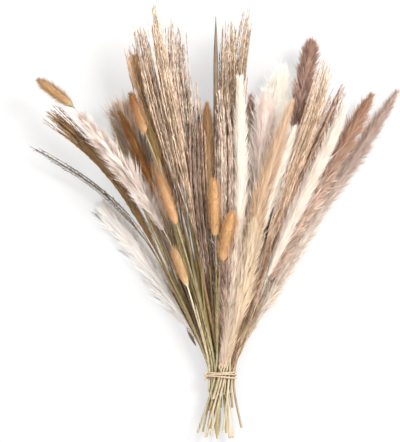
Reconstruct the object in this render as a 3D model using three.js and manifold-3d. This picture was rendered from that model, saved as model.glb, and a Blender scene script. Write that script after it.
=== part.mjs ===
// A bunch of dried grasses, tied with jute twine and lying on a flat surface.
// Millimetres. The cut ends point to -Y, the heads fan out to +Y, and +Z is up from the surface.
// Each stalk grew as one piece, so it is one closed solid: stem, core of the head, and its barbs or strands.

import * as THREE from "three";
import { mergeVertices } from "three/addons/utils/BufferGeometryUtils.js";
import Module from "manifold-3d";

const wasm = await Module();
wasm.setup();

// ---------------------------------------------------------------- driving dimensions

const LEVEL_STEP = 30;          // distance along Y between the rings of a stem
const CELL_PITCH = 2.7;         // centre to centre of neighbouring stems under the tie
const STEM_RADIUS = 1.2;        // a dried grass stem
const STEM_GAP = 0.3;          // clear space kept between two stalks
const BARB_GAP = 0.2;           // clear space kept round each barb
const FLOOR_CLEARANCE = 0.1;    // how far a barb's tip stays above the surface
const CUT_END_SHORT = 14;       // shortest stem below the tie; most are cut short
const CUT_END_MIDDLE = 38;      // longest of those cut short
const CUT_END_LONG = 67;        // longest stem below the tie
const LONG_SHARE = 0.26;        // share of the stems that keep a long end
const CUT_END_TWIST = 0.75;     // radians by which the stems turn below the tie, as in a spiral bunch
const CUT_END_SPREAD = 2.2;     // how much wider the bunch gets at its cut ends, as a share
const CUT_END_DRIFT = -3;       // and how far they stand to the left of the tie
const FAN_LENGTH = 230;         // distance above the tie at which a stalk has risen to its own height
const TWINE_RADIUS = 1.0;
const TWINE_TURNS = 3;
const TWINE_PITCH = 2.5;        // distance along Y between two turns
const TWINE_GAP = 0.45;         // clear space between the twine and the outermost stems
const RESTING_PLUME = "plume_white_low_left";
const REST_CUT = 0.5;           // depth of the flat that this plume rests on, below the underside of its core

// ---------------------------------------------------------------- kinds of stalk

// barbs: how many, their length, how far they lean from the stalk's line (radians), and their root radius.
// core: its radius; a plume's core is instead that share of the plume's half width.
// room: the extra space that a head asks for among its neighbours, beyond its core.
const KINDS = {
  plume: { core: 0.42, sides: 5, room: 2, barbs: 25, lean: 0.52, barbRadius: 1.15, taper: 0.45 },
  bunny: { core: 4.3, sides: 6, room: 1.6, barbs: 16, lean: 0.62, barbRadius: 0.8, taper: 0.8 },
  foxtail: { core: 2.2, sides: 5, room: 1.6, barbs: 18, lean: 0.55, barbRadius: 0.75, taper: 0.6 },
  reed: { sides: 4, room: 3.4, strands: 5, strandRadius: 0.5, spikelet: 1.0 },
  blade: { core: 1.9, sides: 4, room: 0.6 },
};

const TONES = {
  ivory: "#efe4d6", blush: "#e6d6cb", cream: "#efdfcb", lilac: "#cdbab2", tan: "#c9a97f", sand: "#cdb397",
  mauve: "#a3806c", taupe: "#9c8472", russet: "#8d6a58", honey: "#cb9a62", caramel: "#8c5a22",
  olive: "#97794a", wheat: "#c9ab8c", umber: "#8a6440", grey: "#7d6a60", jute: "#c8ae8c",
};

// Each stalk: name, kind, tone, height of its head above the surface, length and half width of the head,
// and where its head runs, from the tip down, as X and Y from the middle of the tie.
const STALKS = [
  ["bunny_tail_far_left", "bunny", "honey", 54, 46, 6, [[-188, 303], [-151, 282], [-117, 247]]],
  ["reed_brown_left", "reed", "umber", 36, 150, 9, [[-181, 273], [-133, 235], [-95, 184], [-63, 119]]],
  ["twig_grass_left", "reed", "umber", 27, 150, 6, [[-197, 235], [-128, 200], [-88, 157], [-44, 82]]],
  ["plume_blush_left", "plume", "blush", 64, 135, 12, [[-155, 278], [-121, 239], [-75, 177], [-46, 128]]],
  ["plume_white_low_left", "plume", "ivory", 3, 140, 10, [[-124, 173], [-92, 136], [-50, 75]]],
  ["plume_taupe_left", "plume", "taupe", 32, 165, 11, [[-106, 279], [-99, 248], [-72, 200], [-45, 106]]],
  ["foxtail_caramel", "foxtail", "caramel", 48, 84, 4.5, [[-104, 268], [-92, 243], [-70, 191]]],
  ["bunny_tail_upper_left", "bunny", "honey", 82, 42, 7, [[-94, 289], [-80, 252], [-60, 204]]],
  ["foxtail_olive", "foxtail", "olive", 66, 40, 4.5, [[-75, 253], [-64, 219]]],
  ["bunny_tail_middle_left", "bunny", "honey", 88, 66, 5.5, [[-70, 218], [-46, 157]]],
  ["foxtail_soft_tan", "foxtail", "tan", 38, 42, 6, [[-89, 327], [-85, 291], [-62, 220]]],
  ["reed_top_left_a", "reed", "wheat", 60, 130, 7, [[-84, 361], [-73, 300], [-50, 220]]],
  ["reed_top_left_b", "reed", "wheat", 74, 150, 8, [[-70, 381], [-64, 328], [-42, 225]]],
  ["reed_top_left_c", "reed", "wheat", 56, 140, 7, [[-51, 368], [-50, 300], [-34, 210]]],
  ["reed_top_left_d", "reed", "grey", 42, 130, 7, [[-43, 357], [-42, 300], [-27, 200]]],
  ["reed_top_left_e", "reed", "umber", 46, 120, 7, [[-95, 339], [-84, 290], [-57, 210]]],
  ["reed_grey_centre", "reed", "grey", 50, 150, 9, [[-33, 318], [-32, 281], [-24, 200]]],
  ["reed_taupe_centre", "reed", "taupe", 70, 150, 9, [[-25, 271], [-24, 200], [-15, 120]]],
  ["blade_dark", "blade", "umber", 62, 160, 2.2, [[-6, 369], [-6, 266], [-6, 150]]],
  ["foxtail_central_tan", "foxtail", "tan", 62, 128, 6.5, [[-15, 279], [-13, 153]]],
  ["reed_top_centre_a", "reed", "wheat", 56, 140, 6, [[3, 349], [3, 280], [1, 200]]],
  ["reed_top_centre_b", "reed", "wheat", 46, 130, 6, [[9, 365], [8, 280], [6, 200]]],
  ["reed_top_centre_c", "reed", "wheat", 38, 150, 8, [[27, 375], [20, 338], [11, 240]]],
  ["reed_broad_centre", "reed", "sand", 72, 130, 9, [[-2, 292], [3, 240], [2, 160]]],
  ["plume_white_centre", "plume", "ivory", 72, 195, 6.5, [[19, 310], [19, 240], [18, 150], [13, 100]]],
  ["plume_russet_centre", "plume", "russet", 30, 155, 6, [[30, 290], [29, 220], [22, 120]]],
  ["plume_cream_back", "plume", "cream", 24, 125, 11, [[63, 317], [52, 265], [38, 180]]],
  ["plume_lilac_back", "plume", "lilac", 38, 110, 8, [[46, 294], [43, 240], [34, 170]]],
  ["plume_mauve_top_right", "plume", "mauve", 36, 95, 9, [[93, 345], [83, 287], [68, 225]]],
  ["plume_tan_big", "plume", "tan", 76, 235, 11, [[73, 285], [57, 234], [33, 157], [18, 55]]],
  ["plume_white_narrow", "plume", "ivory", 60, 80, 5, [[75, 255], [50, 181]]],
  ["plume_white_right", "plume", "ivory", 58, 165, 8, [[127, 277], [99, 214], [73, 164], [50, 110]]],
  ["plume_brown_right", "plume", "mauve", 34, 140, 7, [[157, 292], [135, 252], [104, 200], [62, 125]]],
  ["plume_mauve_right_edge", "plume", "sand", 5, 265, 10, [[183, 295], [143, 231], [106, 178], [36, 58]]],
  ["reed_gold_right", "reed", "wheat", 66, 150, 8, [[108, 323], [93, 267], [59, 175]]],
  ["reed_brown_right", "reed", "umber", 50, 130, 8, [[125, 300], [107, 254], [72, 185]]],
  ["reed_low_right", "reed", "umber", 62, 110, 9, [[60, 192], [46, 139], [31, 90]]],
  ["bunny_tail_centre", "bunny", "honey", 93, 58, 6, [[-8, 203], [-6, 144]]],
  ["bunny_tail_centre_right", "bunny", "honey", 90, 48, 6.7, [[12, 169], [-1, 122]]],
  ["bunny_tail_low_left", "bunny", "honey", 82, 36, 5.7, [[-47, 130], [-35, 95], [-22, 40]]],
  ["plume_mauve_low_centre", "plume", "mauve", 88, 115, 8, [[7, 155], [5, 100], [3, 40]]],
  ["plume_tan_low_centre", "plume", "sand", 88, 125, 8, [[16, 160], [11, 90], [6, 35]]],
  ["plume_tan_low_right", "plume", "sand", 80, 120, 8, [[34, 160], [22, 90], [12, 38]]],
  ["stem_with_leaf_sheath", "blade", "olive", 52, 120, 2.2, [[-38, 195], [-16, 70]]],
];

// ---------------------------------------------------------------- seeded random numbers

let randomState = 20417;
const random = () => {
  randomState = (randomState * 1664525 + 1013904223) % 4294967296;
  return randomState / 4294967296;
};
const between = (low, high) => low + (high - low) * random();

// ---------------------------------------------------------------- where the stalks stand under the tie

// The stems pack as a round hexagonal bundle. The lowest row holds the stalks whose heads lie lowest,
// and within a row they keep the order of their heads from left to right.
const packedCells = (count) => {
  const cells = [];
  const reach = 6;              // rows and columns tried on each side of the middle
  for (let row = -reach; row <= reach; row += 1) {
    for (let column = -reach; column <= reach; column += 1) {
      const x = (column + (row % 2 ? 0.5 : 0)) * CELL_PITCH;
      cells.push({ x, z: row * CELL_PITCH * Math.sqrt(0.75) });
    }
  }
  const flatness = 1.02;        // the bundle is nearly round
  cells.sort((a, b) => Math.hypot(a.x, a.z * flatness) - Math.hypot(b.x, b.z * flatness) || a.x - b.x || a.z - b.z);
  return cells.slice(0, count);
};

const cells = packedCells(STALKS.length);
const TWINE_LIFT = 0.4;         // the tie keeps this far off the surface
const tieHeight = Math.max(...cells.map((cell) => -cell.z))
  + STEM_RADIUS + TWINE_GAP + 2 * TWINE_RADIUS + TWINE_LIFT;

const GOLDEN_SHARE = 0.618;     // steps of this share spread lengths evenly over the stalks
const SHEATH_STALK = "stem_with_leaf_sheath";

const cutEnd = (name, index) => {
  if (name === SHEATH_STALK) return CUT_END_LONG;
  const share = (index * GOLDEN_SHARE) % 1;
  const longFrom = 1 - LONG_SHARE;
  if (share < longFrom) return THREE.MathUtils.lerp(CUT_END_SHORT, CUT_END_MIDDLE, share / longFrom);
  const shortestLong = CUT_END_LONG - 14;
  return THREE.MathUtils.lerp(shortestLong, CUT_END_LONG, (share - longFrom) / LONG_SHARE);
};

const stalks = STALKS.map(([name, kind, tone, height, headLength, halfWidth, route], index) => ({
  name, kind, tone, height, headLength, halfWidth, route,
  lowEnd: cutEnd(name, index), tipY: route[0][1], ...KINDS[kind],
}));

// A plume that starts close above the tie lies over the stems there, so it stands in a higher row.
const STARTS_LOW = 80;
const ROW_LIFT = 20;
const rowHeight = (stalk) => {
  const startsLow = stalk.kind === "plume" && stalk.tipY - stalk.headLength < STARTS_LOW;
  return stalk.height + (startsLow ? ROW_LIFT : 0);
};
const byHeight = [...stalks].sort((a, b) => rowHeight(a) - rowHeight(b));
const rows = [...new Set(cells.map((cell) => cell.z))].sort((a, b) => a - b);
let placed = 0;
for (const z of rows) {
  const rowCells = cells.filter((cell) => cell.z === z).sort((a, b) => a.x - b.x);
  const rowStalks = byHeight.slice(placed, placed + rowCells.length);
  const bearing = (stalk) => stalk.route[stalk.route.length - 1][0] / stalk.route[stalk.route.length - 1][1];
  rowStalks.sort((a, b) => bearing(a) - bearing(b));
  rowStalks.forEach((stalk, i) => { stalk.cell = rowCells[i]; });
  placed += rowCells.length;
}

// ---------------------------------------------------------------- the stalks' centre lines

const FIRST_LEVEL = -Math.ceil(CUT_END_LONG / LEVEL_STEP);
const LAST_LEVEL = Math.ceil(Math.max(...stalks.map((stalk) => stalk.tipY)) / LEVEL_STEP);

const routeX = (stalk, y) => {
  const points = [[stalk.cell.x, 0], ...[...stalk.route].reverse()].map(([x, level]) => new THREE.Vector3(x, level, 0));
  const last = points[points.length - 1];
  const before = points[points.length - 2];
  if (y >= last.y) {
    return last.x + ((last.x - before.x) / (last.y - before.y)) * (y - last.y);
  }
  const curve = new THREE.CatmullRomCurve3(points, false, "centripetal");
  let low = 0;
  let high = 1;
  const halvings = 24;
  for (let step = 0; step < halvings; step += 1) {
    const middle = (low + high) / 2;
    if (curve.getPoint(middle).y < y) low = middle;
    else high = middle;
  }
  return curve.getPoint(low).x;
};

const startPoint = (stalk, y) => {
  if (y <= 0) {
    const share = -y / CUT_END_LONG;
    const turn = CUT_END_TWIST * share;
    const spread = 1 + CUT_END_SPREAD * share;
    return {
      x: (stalk.cell.x * Math.cos(turn) - stalk.cell.z * Math.sin(turn)) * spread + CUT_END_DRIFT * share,
      z: tieHeight + stalk.cell.x * Math.sin(turn) + stalk.cell.z * Math.cos(turn),
    };
  }
  const rest = 1 - Math.min(y / FAN_LENGTH, 1);
  const foot = tieHeight + stalk.cell.z;
  const easing = 1.5;
  return { x: routeX(stalk, y), z: foot + (stalk.height - foot) * (1 - rest ** easing) };
};

for (const stalk of stalks) {
  stalk.levels = new Map();
  for (let level = FIRST_LEVEL; level <= LAST_LEVEL; level += 1) {
    stalk.levels.set(level, startPoint(stalk, level * LEVEL_STEP));
  }
  stalk.aims = new Map([...stalk.levels].map(([level, point]) => [level, point.x]));
}

// Low down the stalks stand close together, so a plume that starts there is slim until the bunch opens.
const CROWDED_BELOW = 40;
const OPEN_ABOVE = 150;
const SLIM_CORE = 2.1;

// A head's outline: a half wave from one share of its length to another, blunter as the power falls.
const outline = (share, from, to, power) => {
  const along = THREE.MathUtils.lerp(from, to, THREE.MathUtils.clamp(share, 0, 1));
  return Math.max(Math.sin(Math.PI * along), 0) ** power;
};
const THINNEST = 0.5;           // no tip is thinner than this radius

// The leaf sheath round one stem, below the tie: it widens, then ends in a point at the cut end.
const SHEATH_TOP = -18;
const SHEATH_RADIUS = 2.1;

// Radius of the stem or of the head's core at a distance y above the tie.
const coreRadius = (stalk, y) => {
  const share = (y - (stalk.tipY - stalk.headLength)) / stalk.headLength;
  if (stalk.name === SHEATH_STALK && y < SHEATH_TOP) {
    const down = (SHEATH_TOP - y) / (SHEATH_TOP + CUT_END_LONG);
    return Math.max(THINNEST, (1 - down) * STEM_RADIUS + (SHEATH_RADIUS - STEM_RADIUS / 2) * outline(down, 0, 1, 1));
  }
  if (share < 0) return STEM_RADIUS;
  if (stalk.kind === "bunny") {
    return Math.max(STEM_RADIUS * (1 - share), stalk.core * outline(share, 0.1, 0.95, 0.55));
  }
  if (stalk.kind === "foxtail") return Math.max(THINNEST, stalk.core * outline(share, 0.18, 0.95, 0.5));
  if (stalk.kind === "plume") {
    const crowding = THREE.MathUtils.smoothstep(y, CROWDED_BELOW, OPEN_ABOVE);
    const full = THREE.MathUtils.lerp(SLIM_CORE, Math.max(stalk.core * stalk.halfWidth, SLIM_CORE), crowding);
    const swell = STEM_RADIUS + (full - STEM_RADIUS) * outline(share, 0.1, 1, 0.7);
    return Math.max(THINNEST, swell - (STEM_RADIUS - THINNEST) * share);
  }
  if (stalk.kind === "blade") return Math.max(THINNEST + 0.2, stalk.core * outline(share, 0.15, 0.95, 1));
  return THREE.MathUtils.lerp(STEM_RADIUS, THINNEST, share);
};

const roomRadius = (stalk, y) => {
  const inHead = y > stalk.tipY - stalk.headLength;
  const opening = THREE.MathUtils.smoothstep(y, CROWDED_BELOW, OPEN_ABOVE);
  return coreRadius(stalk, y) + (inHead ? stalk.room * opening : 0);
};

// Neighbours that stand too close push each other apart, level by level, more up and down than sideways,
// until every stalk has its own room. Nothing is pushed into the surface.
const STEPS_PER_LEVEL = 4;      // stalks are compared at the levels and at these steps between them

const pointAtStep = (stalk, step) => {
  const low = stalk.levels.get(Math.floor(step / STEPS_PER_LEVEL));
  const high = stalk.levels.get(Math.ceil(step / STEPS_PER_LEVEL));
  const share = step / STEPS_PER_LEVEL - Math.floor(step / STEPS_PER_LEVEL);
  return { x: THREE.MathUtils.lerp(low.x, high.x, share), z: THREE.MathUtils.lerp(low.z, high.z, share) };
};

const pushStep = (stalk, step, x, z) => {
  for (const level of new Set([Math.floor(step / STEPS_PER_LEVEL), Math.ceil(step / STEPS_PER_LEVEL)])) {
    if (level === 0) continue;
    const point = stalk.levels.get(level);
    point.x += x;
    point.z += z;
  }
};

const SIDEWAYS_PUSH = 0.45;     // share of a push that goes sideways
const separate = (a, b, step) => {
  const y = (step * LEVEL_STEP) / STEPS_PER_LEVEL;
  const beyondTip = 12;         // a stalk still asks for room this far past its tip
  if (y > Math.min(a.tipY, b.tipY) + beyondTip) return;
  const p = pointAtStep(a, step);
  const q = pointAtStep(b, step);
  const dx = q.x - p.x;
  const dz = q.z - p.z;
  const wanted = roomRadius(a, y) + roomRadius(b, y) + STEM_GAP;
  const distance = Math.hypot(dx, dz);
  if (distance >= wanted) return;
  const push = (0.5 * (wanted - distance)) / Math.max(distance, 0.01);
  pushStep(a, step, -dx * push * SIDEWAYS_PUSH, -dz * push);
  pushStep(b, step, dx * push * SIDEWAYS_PUSH, dz * push);
};

// A bent stalk straightens, and each is held to the place where its head is seen.
const STRAIGHTEN = 0.25;
const STRAIGHTEN_SIDEWAYS = 0.075;
const HOLD = 0.1;
const smoothLevels = (stalk) => {
  const before = new Map([...stalk.levels].map(([level, point]) => [level, { ...point }]));
  for (let level = FIRST_LEVEL + 1; level < LAST_LEVEL; level += 1) {
    if (level === 0) continue;
    const point = stalk.levels.get(level);
    const mean = (key) => (before.get(level - 1)[key] + before.get(level + 1)[key]) / 2;
    const hold = HOLD * THREE.MathUtils.smoothstep(level * LEVEL_STEP, CROWDED_BELOW, OPEN_ABOVE);
    point.x += STRAIGHTEN_SIDEWAYS * (mean("x") - point.x) + hold * (stalk.aims.get(level) - point.x);
    point.z += STRAIGHTEN * (mean("z") - point.z);
  }
};

const SMOOTH_ROUNDS = 80;
const PUSH_ROUNDS = 60;
for (let round = 0; round < SMOOTH_ROUNDS + PUSH_ROUNDS; round += 1) {
  if (round < SMOOTH_ROUNDS) stalks.forEach(smoothLevels);
  for (let step = STEPS_PER_LEVEL * FIRST_LEVEL; step <= STEPS_PER_LEVEL * LAST_LEVEL; step += 1) {
    for (let i = 0; i < stalks.length; i += 1) {
      for (let j = i + 1; j < stalks.length; j += 1) separate(stalks[i], stalks[j], step);
    }
  }
  for (const stalk of stalks) {
    for (const [level, point] of stalk.levels) {
      const radius = coreRadius(stalk, level * LEVEL_STEP);
      const rests = stalk.name === RESTING_PLUME && level > 1;
      const underside = radius * Math.cos(Math.PI / stalk.sides);
      point.z = rests ? underside - REST_CUT : Math.max(point.z, radius);
    }
  }
}

const centreAt = (stalk, y) => {
  const level = Math.min(Math.max(y / LEVEL_STEP, FIRST_LEVEL), LAST_LEVEL);
  const low = stalk.levels.get(Math.floor(level));
  const high = stalk.levels.get(Math.ceil(level));
  const share = level - Math.floor(level);
  return new THREE.Vector3(
    THREE.MathUtils.lerp(low.x, high.x, share),
    y,
    THREE.MathUtils.lerp(low.z, high.z, share),
  );
};

// ---------------------------------------------------------------- solids

// A three.js geometry becomes a solid once its shared corners are merged and its slivers are dropped.
const toSolid = (geometry) => {
  const bare = geometry.clone();
  for (const name of Object.keys(bare.attributes)) {
    if (name !== "position") bare.deleteAttribute(name);
  }
  const merged = mergeVertices(bare, 1e-4);
  const index = merged.index.array;
  const corners = [];
  for (let i = 0; i < index.length; i += 3) {
    const [a, b, c] = [index[i], index[i + 1], index[i + 2]];
    if (a !== b && b !== c && c !== a) corners.push(a, b, c);
  }
  const mesh = (triVerts) => new wasm.Mesh({
    numProp: 3,
    vertProperties: new Float32Array(merged.attributes.position.array),
    triVerts: new Uint32Array(triVerts),
  });
  const solid = new wasm.Manifold(mesh(corners));
  if (solid.volume() > 0) return solid;
  const turned = [];
  for (let i = 0; i < corners.length; i += 3) turned.push(corners[i], corners[i + 2], corners[i + 1]);
  return new wasm.Manifold(mesh(turned));
};

// A turned profile, bent so that its ring number i lies at rings[i].centre, square to the line.
const bentLathe = (rings, sides) => {
  const profile = [
    new THREE.Vector2(0, 0),
    ...rings.map((ring, i) => new THREE.Vector2(ring.radius, i)),
    new THREE.Vector2(0, rings.length - 1),
  ];
  const geometry = new THREE.LatheGeometry(profile, sides);
  const position = geometry.attributes.position;
  const up = new THREE.Vector3(0, 0, 1);
  for (let i = 0; i < position.count; i += 1) {
    const number = Math.round(position.getY(i));
    const ring = rings[number];
    const ahead = rings[Math.min(number + 1, rings.length - 1)].centre;
    const behind = rings[Math.max(number - 1, 0)].centre;
    const along = ahead.clone().sub(behind).normalize();
    const across = along.clone().cross(up).normalize();
    const above = across.clone().cross(along);
    const flat = ring.flat ?? 1;
    const scale = ring.radius > 0 ? 1 : 0;
    const point = ring.centre.clone()
      .addScaledVector(across, position.getX(i) * scale)
      .addScaledVector(above, position.getZ(i) * scale * flat);
    position.setXYZ(i, point.x, point.y, point.z);
  }
  return toSolid(geometry);
};

// What is already placed, as straight round bars, so that no barb or strand runs into a neighbour.
const bars = [];
const addBar = (owner, from, to, radiusFrom, radiusTo) => {
  bars.push({ owner, line: new THREE.Line3(from.clone(), to.clone()), radiusFrom, radiusTo });
};
const nearA = new THREE.Vector3();
const nearB = new THREE.Vector3();
const isClear = (owner, from, to, radiusFrom, radiusTo) => {
  if (from.z < radiusFrom || to.z < radiusTo + FLOOR_CLEARANCE) return false;
  const line = new THREE.Line3(from, to);
  const length = from.distanceTo(to);
  const lowY = Math.min(from.y, to.y) - 8;
  const highY = Math.max(from.y, to.y) + 8;
  return bars.every((bar) => {
    if (bar.owner === owner) return true;
    if (Math.max(bar.line.start.y, bar.line.end.y) < lowY) return true;
    if (Math.min(bar.line.start.y, bar.line.end.y) > highY) return true;
    const distance = Math.sqrt(line.distanceSqToLine3(bar.line, nearA, nearB));
    const mine = THREE.MathUtils.lerp(radiusFrom, radiusTo, nearA.distanceTo(from) / length);
    const share = nearB.distanceTo(bar.line.start) / bar.line.distance();
    return distance > mine + THREE.MathUtils.lerp(bar.radiusFrom, bar.radiusTo, share) + BARB_GAP;
  });
};

const sheathLevel = (share) => THREE.MathUtils.lerp(SHEATH_TOP, -CUT_END_LONG, share);

// The rings of a stalk: at every level that it crosses, and closer together along a short dense head.
const stalkRings = (stalk) => {
  const headStart = stalk.tipY - stalk.headLength;
  const heights = new Set([-stalk.lowEnd, stalk.tipY]);
  for (let level = FIRST_LEVEL; level <= LAST_LEVEL; level += 1) {
    const y = level * LEVEL_STEP;
    if (y > -stalk.lowEnd + 8 && y < stalk.tipY - 5) heights.add(y);
  }
  const shares = { bunny: [0, 0.12, 0.35, 0.6, 0.82, 0.95], foxtail: [0, 0.1, 0.9], blade: [], reed: [], plume: [0] };
  for (const share of shares[stalk.kind]) heights.add(headStart + share * stalk.headLength);
  if (stalk.name === SHEATH_STALK) [0.02, 0.3, 0.6, 0.85].forEach((share) => heights.add(sheathLevel(share)));
  const rings = [...heights].sort((a, b) => a - b)
    .filter((y, i, all) => i === 0 || i === all.length - 1 || y - all[i - 1] > 2)
    .map((y) => ({
      centre: centreAt(stalk, y),
      radius: y === stalk.tipY ? 0.45 : coreRadius(stalk, y),
      flat: stalk.kind === "blade" && y > headStart ? 0.5 : 1,
    }));
  // A ring goes where the stalk runs straight through it without changing its thickness.
  const straightness = 0.35;
  const kept = [rings[0]];
  for (let i = 1; i < rings.length; i += 1) {
    const last = kept[kept.length - 1];
    const next = rings[i + 1];
    const isBend = !next || i % 2 === 0 || rings[i].flat !== next.flat || last.radius !== next.radius
      || new THREE.Line3(last.centre, next.centre)
        .closestPointToPoint(rings[i].centre, true, new THREE.Vector3()).distanceTo(rings[i].centre) > straightness;
    if (isBend) kept.push(rings[i]);
  }
  return kept;
};

const directionAt = (stalk, y) => centreAt(stalk, y + 4).sub(centreAt(stalk, y - 4)).normalize();

const UNEVEN = 0.13;            // barbs differ by up to this share in lean and length
const SHORT_REACH = 1.5;        // how far a barb stands out where the head is slimmest
const SHORTEST_BARB = 2.2;
const SHORTENING = 0.8;         // a barb that meets a neighbour is tried again at this share of its length

// One barb: a three-sided needle that leans out of the head's core towards the tip.
const barb = (stalk, y, angle, wantedLength) => {
  const centre = centreAt(stalk, y);
  const along = directionAt(stalk, y);
  const across = along.clone().cross(new THREE.Vector3(0, 0, 1)).normalize();
  const above = across.clone().cross(along);
  const outward = across.multiplyScalar(Math.cos(angle)).addScaledVector(above, Math.sin(angle));
  const core = coreRadius(stalk, y);
  const lean = stalk.lean * between(1 - UNEVEN, 1 + UNEVEN);
  const direction = along.clone().multiplyScalar(Math.cos(lean)).addScaledVector(outward, Math.sin(lean));
  const root = centre.clone().addScaledVector(outward, Math.max(core * 0.35, 0.1));
  const radius = Math.min(stalk.barbRadius, core * 0.8);
  const emerge = root.clone().addScaledVector(direction, (core * 0.65) / Math.sin(lean));
  for (let length = wantedLength; length > SHORTEST_BARB; length *= SHORTENING) {
    const tip = emerge.clone().addScaledVector(direction, length);
    if (!isClear(stalk.name, emerge, tip, radius, 0.1)) continue;
    addBar(stalk.name, emerge, tip, radius, 0.1);
    const whole = root.distanceTo(tip);
    const geometry = new THREE.ConeGeometry(radius, whole, 3);
    geometry.translate(0, whole / 2, 0);
    geometry.rotateY(between(0, Math.PI));
    geometry.applyQuaternion(new THREE.Quaternion().setFromUnitVectors(new THREE.Vector3(0, 1, 0), direction));
    geometry.translate(root.x, root.y, root.z);
    return toSolid(geometry);
  }
  return null;
};

const GOLDEN_ANGLE = 2.39996;   // each barb and strand turns this far round the stalk from the last

const barbs = (stalk) => {
  const solids = [];
  const headStart = stalk.tipY - stalk.headLength;
  for (let i = 0; i < stalk.barbs; i += 1) {
    const share = 0.03 + (0.94 * (i + 0.5)) / stalk.barbs;
    const y = headStart + share * stalk.headLength;
    const slim = 1 - stalk.taper * share ** 2;
    const reach = stalk.halfWidth * slim - coreRadius(stalk, y);
    const wanted = Math.max(reach, SHORT_REACH) / Math.sin(stalk.lean) * between(1 - UNEVEN, 1 + UNEVEN);
    solids.push(barb(stalk, y, i * GOLDEN_ANGLE, wanted));
  }
  return solids.filter(Boolean);
};

// One strand of a reed spray: a thin branch that leaves the stalk low and carries small spikelets.
const strand = (stalk, number) => {
  const headStart = stalk.tipY - stalk.headLength;
  const rootY = headStart + stalk.headLength * (0.08 + 0.09 * number);
  const tipY = stalk.tipY - stalk.headLength * (0.05 + 0.32 * ((number * GOLDEN_SHARE) % 1));
  const angle = number * GOLDEN_ANGLE + 0.4;
  const steps = 4;
  const narrowest = 1.6;
  const bow = 1.9;              // the strand bows out, then runs along beside the stalk
  for (let spread = stalk.halfWidth; spread > narrowest; spread *= SHORTENING) {
    const rings = [];
    for (let i = 0; i <= steps; i += 1) {
      const share = i / steps;
      const y = THREE.MathUtils.lerp(rootY, tipY, share);
      const offset = spread * Math.sin(share * bow) ** 0.8;
      const centre = centreAt(stalk, y);
      centre.x += Math.cos(angle) * offset;
      centre.z += Math.sin(angle) * offset;
      const radius = i % 2 ? stalk.spikelet : stalk.strandRadius;
      rings.push({ centre, radius: i === steps ? 0.25 : radius });
    }
    const free = rings.slice(1).every((ring, i) =>
      isClear(stalk.name, rings[i].centre, ring.centre, stalk.spikelet, stalk.spikelet));
    if (!free) continue;
    rings.slice(1).forEach((ring, i) => addBar(stalk.name, rings[i].centre, ring.centre, rings[i].radius, ring.radius));
    return bentLathe(rings, 3);
  }
  return null;
};

const strands = (stalk) => {
  const solids = [];
  for (let number = 0; number < stalk.strands; number += 1) solids.push(strand(stalk, number));
  return solids.filter(Boolean);
};

// ---------------------------------------------------------------- the twine

const KNOT_ANGLE = 2.7;         // the knot sits at the left of the tie, a little above its middle

// The twine runs round the outermost stems: in each direction it clears the furthest stem by the same gap.
const twinePoint = (angle, y) => {
  const reach = Math.max(...stalks.map((stalk) => {
    const centre = centreAt(stalk, y);
    return centre.x * Math.cos(angle) + (centre.z - tieHeight) * Math.sin(angle);
  }));
  const radius = reach + STEM_RADIUS + TWINE_GAP + TWINE_RADIUS;
  return new THREE.Vector3(Math.cos(angle) * radius, y, tieHeight + Math.sin(angle) * radius);
};

class TwineTurns extends THREE.Curve {
  getPoint(share, target = new THREE.Vector3()) {
    const turn = share * TWINE_TURNS;
    const y = (turn - TWINE_TURNS / 2) * TWINE_PITCH;
    return target.copy(twinePoint(KNOT_ANGLE + turn * 2 * Math.PI, y));
  }
}

const tubeAlong = (curve, radius, sides, steps) => {
  const section = new THREE.Shape();
  for (let i = 0; i < sides; i += 1) {
    const angle = (i / sides) * 2 * Math.PI;
    const point = [radius * Math.cos(angle), radius * Math.sin(angle)];
    if (i === 0) section.moveTo(...point);
    else section.lineTo(...point);
  }
  section.closePath();
  return toSolid(new THREE.ExtrudeGeometry(section, { steps, extrudePath: curve, bevelEnabled: false }));
};

const twineTie = () => {
  const turns = tubeAlong(new TwineTurns(), TWINE_RADIUS, 5, 15 * TWINE_TURNS);
  const outward = new THREE.Vector3(Math.cos(KNOT_ANGLE), 0, Math.sin(KNOT_ANGLE));
  const knotStandOff = 2.1;
  const knotCentre = twinePoint(KNOT_ANGLE, 0).addScaledVector(outward, knotStandOff);
  const loop = (tiltX, tiltZ, shift) => {
    const geometry = new THREE.TorusGeometry(1.8, 1, 4, 7);
    geometry.rotateX(tiltX);
    geometry.rotateZ(tiltZ);
    geometry.translate(knotCentre.x, knotCentre.y + shift, knotCentre.z);
    return toSolid(geometry);
  };
  const tail = (x, y, z) => tubeAlong(new THREE.QuadraticBezierCurve3(
    knotCentre.clone(),
    knotCentre.clone().add(new THREE.Vector3(x * 0.6, y * 0.2, 2)),
    knotCentre.clone().add(new THREE.Vector3(x, y, z)),
  ), 0.9, 4, 3);
  return turns.add(loop(1.2, 0.4, 0.8)).add(loop(0.3, -0.5, -1)).add(tail(-5, -6, -2)).add(tail(-6, 4, 0.5));
};

// ---------------------------------------------------------------- the bunch

const toMesh = (solid, name, tone) => {
  const { vertProperties, triVerts } = solid.getMesh();
  const geometry = new THREE.BufferGeometry();
  geometry.setAttribute("position", new THREE.BufferAttribute(vertProperties, 3));
  geometry.setIndex(new THREE.BufferAttribute(triVerts, 1));
  const material = new THREE.MeshStandardMaterial({ color: TONES[tone], roughness: 0.9, metalness: 0 });
  const mesh = new THREE.Mesh(geometry, material);
  mesh.name = name;
  return mesh;
};

for (const stalk of stalks) {
  stalk.rings = stalkRings(stalk);
  stalk.rings.slice(1).forEach((ring, i) => {
    const before = stalk.rings[i];
    addBar(stalk.name, before.centre, ring.centre, before.radius, ring.radius);
  });
}

const bunch = new THREE.Group();
const surface = new THREE.BoxGeometry(800, 1200, 40);
surface.translate(0, 100, -20);
const surfaceSolid = toSolid(surface);

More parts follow.
